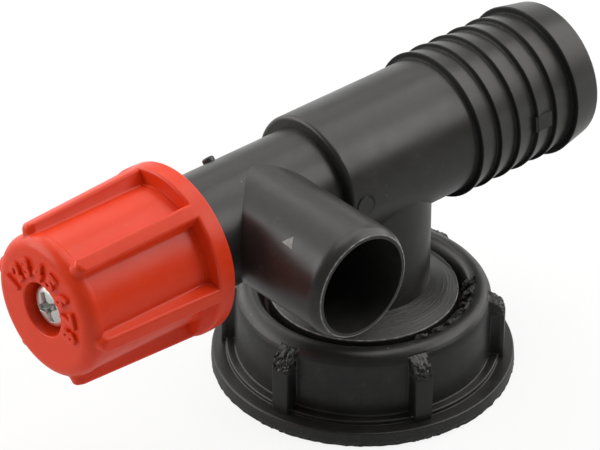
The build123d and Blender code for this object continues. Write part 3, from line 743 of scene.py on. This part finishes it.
# %% Make and bend numbers
def number_mesh(text, height_mm, raise_mm, sink_mm, weight, bevel):
    """Gives points and faces of raised numbers, in mm: x along, y up, z out of the surface."""
    curve = bpy.data.curves.new("numbers", "FONT")
    curve.body = text
    curve.align_x = "CENTER"
    curve.size = height_mm / 0.7
    curve.offset = weight
    curve.extrude = (raise_mm + sink_mm) / 2
    curve.bevel_depth = bevel
    curve.bevel_resolution = 1
    curve.resolution_u = 5
    holder = bpy.data.objects.new("numbers", curve)
    in_scene.link(holder)
    bpy.context.view_layer.update()
    mesh = bpy.data.meshes.new_from_object(holder)
    bpy.data.objects.remove(holder)
    work = bmesh.new()
    work.from_mesh(mesh)
    bmesh.ops.remove_doubles(work, verts=work.verts, dist=0.001)
    bmesh.ops.triangulate(work, faces=work.faces)
    bmesh.ops.subdivide_edges(work, edges=[e for e in work.edges if e.calc_length() > 0.9], cuts=1)
    bmesh.ops.triangulate(work, faces=work.faces)
    points = np.array([v.co for v in work.verts])
    points[:, 2] += (raise_mm - sink_mm) / 2
    faces = [tuple(v.index for v in f.verts) for f in work.faces]
    work.free()
    bpy.data.meshes.remove(mesh)
    bpy.data.curves.remove(curve)
    return points, faces


def join_into(target, extra):
    """Joins other objects into the target."""
    chosen = [target, *extra]
    with bpy.context.temp_override(
            active_object=target, selected_editable_objects=chosen, selected_objects=chosen):
        bpy.ops.object.join()
    return target


def finish_all(piece, material):
    """Gives every face of a piece the same finish."""
    piece.data.materials.clear()
    piece.data.materials.append(material)
    piece.data.polygons.foreach_set("material_index", [0] * len(piece.data.polygons))


DIGIT_FOOT_R = 8.7
DIGIT_MIDDLE_R = 11.0
DIGIT_FIRST, DIGIT_STEP = 166.0, 25.0
digits = []
for place_in_row in range(8):
    points, faces = number_mesh(str(place_in_row + 1), 4.4, 0.75, 0.3, 0.20, 0.14)
    middle = math.radians(DIGIT_FIRST - DIGIT_STEP * place_in_row)
    rho = DIGIT_FOOT_R + points[:, 1]
    phi = middle - points[:, 0] / DIGIT_MIDDLE_R
    bent = np.stack([-(KNOB_FRONT + points[:, 2]), -rho * np.cos(phi), AXIS_HEIGHT + rho * np.sin(phi)], 1)
    digits.append(make_mesh(f"digit_{place_in_row}", bent, faces, 35.0))
knob = join_into(knob, digits)
print("knob points with numbers:", len(knob.data.vertices))

# %% Give the knob its finish
finish_all(knob, knob_plastic)
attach(knob, "spindle")
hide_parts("knob")
print("knob dressed")

# %% [markdown]
# ## The screw in the knob
#
# A zinc-plated pan head with a cross recess. The recess has sloping walls and runs down to a pit, and a
# painted shade that grows with the depth makes the cross look dark in the middle and grey at its arms. The
# head is a disc of fine rings, and each point is lowered by how deep it lies inside the cross.

# %% Pan head screw
SCREW_BASE = 97.7
SCREW_R = 5.5
SCREW_SHANK_R = 2.5
SCREW_HEIGHT = 3.3
SCREW_RIM = 1.4
CROSS_TURN = math.radians(28.0)
CROSS_REACH = 3.8
PIT_R = 1.9
SCREW_COLUMNS = 160
screw_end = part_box("knob_screw")[1][0] / MM


def screw_top(r, turn):
    """Height of the head at a place: a flattened dome less the cross recess."""
    dome = SCREW_RIM + (SCREW_HEIGHT - SCREW_RIM) * math.sqrt(max(0.0, 1 - (r / SCREW_R) ** 3))
    u, v = abs(r * math.cos(turn - CROSS_TURN)), abs(r * math.sin(turn - CROSS_TURN))
    half = 1.22 - 0.09 * r
    inside = max(min(half - v, CROSS_REACH - u), min(half - u, CROSS_REACH - v), PIT_R - r)
    depth = max(0.5, 2.3 - 0.42 * r)
    sunk = min(1.0, max(0.0, inside) / 0.34)
    return dome - depth * sunk, sunk


head_rings = [(None, r) for r in spread(0.12, SCREW_R - 0.05, 0.1) + [SCREW_R]]
under_rings = [(-SCREW_BASE, SCREW_R), (-SCREW_BASE, SCREW_SHANK_R), (screw_end, SCREW_SHANK_R)]
screw_points, pit_shade = [], []
for x, r in head_rings + under_rings:
    for k in range(SCREW_COLUMNS):
        turn = 2 * math.pi * k / SCREW_COLUMNS
        rise, sunk = screw_top(r, turn) if x is None else (-x - SCREW_BASE, 0.0)
        screw_points.append((-(SCREW_BASE + rise), -r * math.cos(turn), AXIS_HEIGHT + r * math.sin(turn)))
        # How deep a point lies in the cross also sets its painted shade.
        pit_shade.append(sunk)
rings = len(head_rings) + len(under_rings)
screw_faces = []
for i in range(rings - 1):
    a, b = i * SCREW_COLUMNS, (i + 1) * SCREW_COLUMNS
    for k in range(SCREW_COLUMNS):
        n = (k + 1) % SCREW_COLUMNS
        screw_faces.append((a + k, b + k, b + n, a + n))
screw_points.append((-(SCREW_BASE + screw_top(0.0, 0.0)[0]), 0.0, AXIS_HEIGHT))
pit_shade.append(1.0)
screw_faces += [(len(screw_points) - 1, k, (k + 1) % SCREW_COLUMNS) for k in range(SCREW_COLUMNS)]
screw_faces.append([(rings - 1) * SCREW_COLUMNS + k for k in range(SCREW_COLUMNS)])
screw = make_mesh("knob_screw_shell", screw_points, screw_faces, 40.0)
screw.data.attributes.new("pit_shade", "FLOAT", "POINT").data.foreach_set("value", pit_shade)
screw.data.materials.append(FINISHES["zinc_steel"])
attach(screw, "spindle")
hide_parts("knob_screw")
print("screw points:", len(screw_points))

# %% [markdown]
# ## The coupling nut
#
# The loose nut stands on a broad foot and has six plates to grip it by. Its moulding is rougher
# than the body's: the tops of the plates are torn where the mould parted, the foot's lower edge
# is ragged, and the flare inside its mouth carries rough raised marks. The same grid does all of
# this, with noise moving the rows near those places. The coarse thread is a helix in the rows of
# the bore.

# %% Nut sizes
NUT_FOOT_R = 39.4
NUT_FOOT_TOP = 4.1
NUT_WALL_R = 33.0
NUT_LEDGE_R = 35.3
NUT_TOP = 23.2
NUT_THREAD_R = 29.6
NUT_RELIEF_R = 28.2
NUT_LIP_R = 25.5
NUT_LIP_TOP = 19.5
NUT_LIP_LOW = 17.5
LUG_R = 36.6
LUG_HALF = 2.55
LUG_TOP = 17.6
LUG_END = 21.4
LUG_FIRST = 13.0
LUG_ZONE = 4.4
LUG_END_R = 31.8
THREAD_TOP = 11.0
THREAD_PITCH = 6.0
THREAD_DEPTH = 1.7
RAGGED_TOP = 1.6
nut_corners = [
    (0.0, NUT_THREAD_R, 0.5, "thread"), (0.0, NUT_FOOT_R, 0.5, "foot"),
    (NUT_FOOT_TOP, NUT_FOOT_R - 0.3, 0.5, "foot"), (NUT_FOOT_TOP - 0.1, NUT_LEDGE_R, 0.25, "foot"),
    (5.1, NUT_LEDGE_R, 0.4, "ledge"), (5.3, NUT_WALL_R, 0.4, "wall"),
    (NUT_TOP, NUT_WALL_R, 4.2, "top"), (NUT_TOP, 27.6, 2.2, "flare"),
    (NUT_LIP_TOP, NUT_LIP_R, 0.4, "lip"), (NUT_LIP_LOW, NUT_LIP_R, 0.4, "lip"),
    (NUT_LIP_LOW, NUT_RELIEF_R, 0.5, "relief"), (THREAD_TOP, NUT_RELIEF_R, 0.0, "relief"),
    (THREAD_TOP, NUT_THREAD_R, 0.0, "thread"),
]
nut_rows = profile_points(nut_corners, 0.55)
fine_rows = []
for (z, r, tag), (next_z, next_r, _) in zip(nut_rows, nut_rows[1:] + nut_rows[:1]):
    fine_rows.append((z, r, tag))
    near_torn = min(z, next_z) > LUG_TOP - 2.0 or max(z, next_z) < 2 * RAGGED_TOP
    if min(r, next_r) > 31.5 and near_torn:
        fine_rows.append(((z + next_z) / 2, (r + next_r) / 2, tag))
nut_rows = fine_rows
print("nut rows:", len(nut_rows))


# %% Nut surface
def torn(x, y, z, size_mm, seed):
    """A rough value between -1 and 1 at a point in millimetres."""
    return noise.turbulence(Vector((x, y, z + seed * 50.0)) / size_mm, 3, False) - 0.5


def nut_grid():
    """Points of the nut's grid in millimetres, and its size."""
    half = [0, 0.25, 0.5, 0.75, 1.0, 1.25, 1.5, 1.75, 1.95, 2.12, 2.25, 2.38, 2.47, LUG_HALF, 2.64, 2.76,
            2.95, 3.2, 3.6, 4.0, LUG_ZONE]
    columns = rib_columns(half, 26)
    points = []
    for z, rho_row, tag in nut_rows:
        for lug in range(RIB_COUNT):
            middle = math.radians(LUG_FIRST) + RIB_PITCH * lug
            for kind, value in columns:
                rho = rho_row
                up = z
                outside = tag in ("foot", "ledge", "wall", "top") and rho > 32.0
                if outside and kind == "rib" and z < LUG_END:
                    past = max(0.0, (z - LUG_TOP) / (LUG_END - LUG_TOP))
                    out_r = LUG_R - (LUG_R - LUG_END_R) * (1 - math.sqrt(max(0.0, 1 - past ** 2)))
                    if z > NUT_FOOT_TOP - 0.2 and out_r > rho:
                        rho += float(wall_rise(LUG_HALF - abs(value), out_r - rho, 0.35, 0.4))
                angle = middle + column_angle(kind, value, rho, LUG_ZONE)
                x, y = rho * math.cos(angle), rho * math.sin(angle)
                rough = 0.0
                if kind == "rib" and abs(value) < 2.6 and outside and LUG_TOP - 1.2 < z < LUG_END + 0.4:
                    fade = min(1.0, (z - LUG_TOP + 1.2) / 1.2) * min(1.0, (LUG_END + 0.4 - z) / 0.8)
                    bite = torn(x, y, z, 0.85, lug) + 0.5 * torn(x, y, z, 0.45, lug + 7)
                    rough = fade * (0.75 + bite)
                    rho += 0.54 * fade * bite
                    up += 0.40 * fade * torn(x, y, z, 0.6, lug + 3)
                if tag == "thread" and z < THREAD_TOP:
                    turn = (z / THREAD_PITCH - math.atan2(y, x) / (2 * math.pi)) % 1.0
                    ends = min(1.0, z / 1.2) * min(1.0, (THREAD_TOP - z) / 1.2)
                    tooth = max(0.0, 1 - abs(turn - 0.5) / 0.30)
                    rho -= THREAD_DEPTH * ends * min(1.0, tooth * 1.6)
                if tag == "foot" and rho_row > 35.6:
                    rough = 0.09 if rho_row > NUT_FOOT_R - 0.6 else 0.06
                # Painted highlight: the lip's top edge gets a pale, rougher band through this value.
                if tag == "lip" and z > 19.3:
                    rough = 0.45
                if tag == "foot" and z < RAGGED_TOP and rho_row > NUT_FOOT_R - 1.2:
                    low = min(1.0, (RAGGED_TOP - z) / 0.8)
                    chips = low * max(0.0, torn(x, y, z * 2, 2.3, 9) + 0.1)
                    rho -= 0.70 * chips + 0.35 * low * abs(torn(x, y, z, 0.8, 3))
                    up += 0.35 * chips
                    rough = max(rough, 0.35 * low + chips)
                points.append((rho * math.cos(angle), rho * math.sin(angle), up))
                wear_and_sheen.append(max(0.0, min(1.0, rough)))
    return points, len(nut_rows), RIB_COUNT * len(columns)


wear_and_sheen = []
nut_points, nut_row_count, nut_column_count = nut_grid()
nut_faces = [face[::-1] for face in grid_faces(nut_row_count, nut_column_count)]
nut = make_mesh("coupling_nut_shell", nut_points, nut_faces, 45.0)
nut.data.attributes.new("wear_and_sheen", "FLOAT", "POINT").data.foreach_set("value", wear_and_sheen)
print("nut grid:", nut_row_count, "x", nut_column_count)

# %% Raised numbers on the nut's flare
FLARE_FIRST, FLARE_STEP = -99.0, 10.0
FLARE_MIDDLE_R = 26.7
FLARE_WEAR = 0.55
flare = [(z, r) for z, r, tag in nut_rows if tag in ("top", "flare")]
start = min(range(len(flare)), key=lambda k: math.hypot(flare[k][0] - NUT_TOP, flare[k][1] - 29.6))
path = np.array(flare[start:] + [(19.7, 25.7)])[::-1]
run = np.concatenate([[0], np.cumsum(np.linalg.norm(np.diff(path, axis=0), axis=1))])
side = np.gradient(path, run, axis=0)
side /= np.linalg.norm(side, axis=1)[:, None]
marks = []
for k, text in enumerate(("6", "0", "2", "4", "1", "8", "5")):
    points, faces = number_mesh(text, 3.9, 0.95, 0.5, 0.20, 0.10)
    middle = math.radians(FLARE_FIRST + FLARE_STEP * k)
    along = 0.9 + points[:, 1]
    base_z, base_r = np.interp(along, run, path[:, 0]), np.interp(along, run, path[:, 1])
    slope_z, slope_r = np.interp(along, run, side[:, 0]), np.interp(along, run, side[:, 1])
    rough = np.array([0.45 * torn(*p, 0.9, k) for p in points])
    place_z = base_z + slope_r * (points[:, 2] + rough)
    place_r = base_r - slope_z * (points[:, 2] + rough)
    phi = middle + points[:, 0] / FLARE_MIDDLE_R
    bent = np.stack([place_r * np.cos(phi), place_r * np.sin(phi), place_z], 1)
    mark = make_mesh(f"mark_{k}", bent, faces, 35.0)
    mark.data.attributes.new("wear_and_sheen", "FLOAT", "POINT").data.foreach_set("value", [FLARE_WEAR] * len(points))
    marks.append(mark)
nut = join_into(nut, marks)
finish_all(nut, nut_plastic)
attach(nut, "nut")
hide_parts("coupling_nut")
print("nut points with numbers:", len(nut.data.vertices))

# %% [markdown]
# ## A mark on the spout
#
# A small raised triangle stands on the side spout, paler than the body. It is a thin plate with its points
# laid on the spout's round surface.

# %% Spout mark
mark_corners = np.array(((-50.2, -26.0, 71.1), (-48.2, -28.4, 73.1), (-50.4, -30.1, 71.0)))
cut = 8
mark_points, mark_faces, index_of = [], [], {}
for layer, lift in enumerate((-0.1, 0.12)):
    for i in range(cut + 1):
        for j in range(cut + 1 - i):
            shrink = 1.0 if layer == 0 else 0.82
            weights = np.array((i, j, cut - i - j)) / cut
            flat = (weights * shrink + (1 - shrink) / 3) @ mark_corners
            away = np.array((flat[0] - SPOUT_X, flat[2] - AXIS_HEIGHT))
            away = away / np.linalg.norm(away) * (SPOUT_R + lift)
            index_of[layer, i, j] = len(mark_points)
            mark_points.append((SPOUT_X + away[0], flat[1], AXIS_HEIGHT + away[1]))
for i in range(cut):
    for j in range(cut - i):
        mark_faces.append((index_of[1, i, j], index_of[1, i + 1, j], index_of[1, i, j + 1]))
        if i + j < cut - 1:
            mark_faces.append((index_of[1, i + 1, j], index_of[1, i + 1, j + 1], index_of[1, i, j + 1]))
edge = [(i, 0) for i in range(cut)] + [(cut - j, j) for j in range(cut)] + [(0, cut - k) for k in range(cut)]
for k, (i, j) in enumerate(edge):
    ni, nj = edge[(k + 1) % len(edge)]
    mark_faces.append((index_of[0, i, j], index_of[0, ni, nj], index_of[1, ni, nj], index_of[1, i, j]))
spout_mark = make_mesh("spout_mark", mark_points, mark_faces, 30.0)
mark_finish = small_part("pale mark", (0.22, 0.22, 0.215), (0.34, 0.34, 0.33), 0.0, 0.5, 0.25, 0.03)
spout_mark.data.materials.append(mark_finish)
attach(spout_mark, "valve")
print("mark faces:", len(mark_faces))

# %% [markdown]
# ## Floor, backdrop and light
#
# The valve lies on a white table in a white room. The camera sees plain white; the floor also
# keeps a share of real light, so the valve's shadow stays on it. Black plastic shows mostly what
# it reflects, so the lamps do the drawing: large soft ones above, behind and at the sides, and
# none at the camera, which leaves the near sides dark and gives each tube its bright bands. In
# reflections the backdrop is white behind the valve and the floor runs from white there to grey in
# front, as on a table lit from the back.

# %% White room
ROOM_LIGHT = 0.20
BACKDROP_FROM, BACKDROP_FULL = 0.3, 0.9
BACKDROP_LOW, BACKDROP_TOP = 0.10, 0.45
world = bpy.data.worlds.new("room")
bpy.context.scene.world = world
world.use_nodes = True
room = world.node_tree
backdrop = room.nodes["Background"]
path = room.nodes.new("ShaderNodeLightPath")
facing = room.nodes.new("ShaderNodeSeparateXYZ")
room.links.new(room.nodes.new("ShaderNodeTexCoord").outputs["Generated"], facing.inputs[0])
backwards = math_node(room, "ADD", facing.outputs[0], facing.outputs[1])
behind = mapped(room, backwards, BACKDROP_FROM, BACKDROP_FULL)
low_down = mapped(room, facing.outputs[2], BACKDROP_LOW, BACKDROP_TOP, 1.0, 0.0)
mirrored = multiply(room, multiply(room, behind, low_down), path.outputs["Is Glossy Ray"])
seen = math_node(room, "MAXIMUM", path.outputs["Is Camera Ray"], path.outputs["Is Transmission Ray"])
seen = math_node(room, "MAXIMUM", seen, mirrored)
room.links.new(mapped(room, seen, 0.0, 1.0, ROOM_LIGHT, 1.0), backdrop.inputs["Strength"])
backdrop.inputs["Color"].default_value = (1, 1, 1, 1)
print("room light:", ROOM_LIGHT)

# %% Floor
FLOOR_HALF = 4
FLOOR_WHITE = 0.86
GREY_IN_FRONT = 0.4
floor_mesh = bpy.data.meshes.new("floor")
floor_corners = [(x * FLOOR_HALF, y * FLOOR_HALF, 0) for x, y in ((-1, -1), (1, -1), (1, 1), (-1, 1))]
floor_mesh.from_pydata(floor_corners, [], [(0, 1, 2, 3)])
floor = bpy.data.objects.new("floor", floor_mesh)
floor.location.z = -0.02 * MM
in_scene.link(floor)
table = bpy.data.materials.new("white table")
table.use_nodes = True
tree = table.node_tree
matt = tree.nodes["Principled BSDF"]
matt.inputs["Base Color"].default_value = (0.82, 0.82, 0.82, 1)
matt.inputs["Roughness"].default_value = 0.7
white = add(tree, "ShaderNodeEmission")
white.inputs["Color"].default_value = (1, 1, 1, 1)
path = tree.nodes.new("ShaderNodeLightPath")
seen = math_node(tree, "MAXIMUM", path.outputs["Is Camera Ray"], path.outputs["Is Transmission Ray"])
seen = math_node(tree, "MAXIMUM", seen, path.outputs["Is Glossy Ray"])
where = tree.nodes.new("ShaderNodeSeparateXYZ")
tree.links.new(object_place(tree), where.inputs[0])
glow = mapped(tree, math_node(tree, "ADD", where.outputs[0], where.outputs[1]), 0.0, 0.3, GREY_IN_FRONT, 1.0)
mirrored = multiply(tree, path.outputs["Is Glossy Ray"], math_node(tree, "SUBTRACT", glow, 1.0))
tree.links.new(math_node(tree, "ADD", mirrored, 1.0), white.inputs["Strength"])
blend = tree.nodes.new("ShaderNodeMixShader")
tree.links.new(multiply(tree, seen, FLOOR_WHITE), blend.inputs[0])
tree.links.new(matt.outputs[0], blend.inputs[1])
tree.links.new(white.outputs[0], blend.inputs[2])
tree.links.new(blend.outputs[0], tree.nodes["Material Output"].inputs["Surface"])
floor_mesh.materials.append(table)
print("floor size in m:", 2 * FLOOR_HALF)


# %% Lamps
LAMP_TARGET = Vector((-0.01, 0, 0.045))
LAMP_COLOUR = (1.0, 0.98, 0.955)


def soft_lamp(name, place_m, size_m, power):
    """Places a large soft lamp that looks at the middle of the valve."""
    lamp = bpy.data.lights.new(name, "AREA")
    lamp.shape = "RECTANGLE"
    lamp.size, lamp.size_y = size_m
    lamp.energy = power
    lamp.color = LAMP_COLOUR
    made = bpy.data.objects.new(name, lamp)
    made.location = place_m
    made.rotation_euler = (LAMP_TARGET - Vector(place_m)).to_track_quat("-Z", "Y").to_euler()
    in_scene.link(made)


soft_lamp("lamp above", (0.1, 0.1, 1.3), (0.8, 0.8), 5.2)
soft_lamp("lamp above tail", (0.75, -0.05, 1.03), (1.0, 0.7), 4.6)
soft_lamp("lamp high behind", (0.65, 0.75, 0.95), (0.8, 0.8), 2.0)
soft_lamp("lamp above knob", (-0.1, 0.85, 0.95), (1.5, 0.7), 3.8)
soft_lamp("lamp behind", (-0.2, 1.15, 0.5), (0.8, 0.8), 4.0)
soft_lamp("lamp left", (-0.9, 0.8, 0.5), (0.8, 0.8), 7.4)
soft_lamp("lamp right", (1.15, -0.1, 0.5), (0.8, 0.8), 3.7)
soft_lamp("lamp front right", (0.73, -0.72, 0.82), (0.6, 0.6), 4.5)
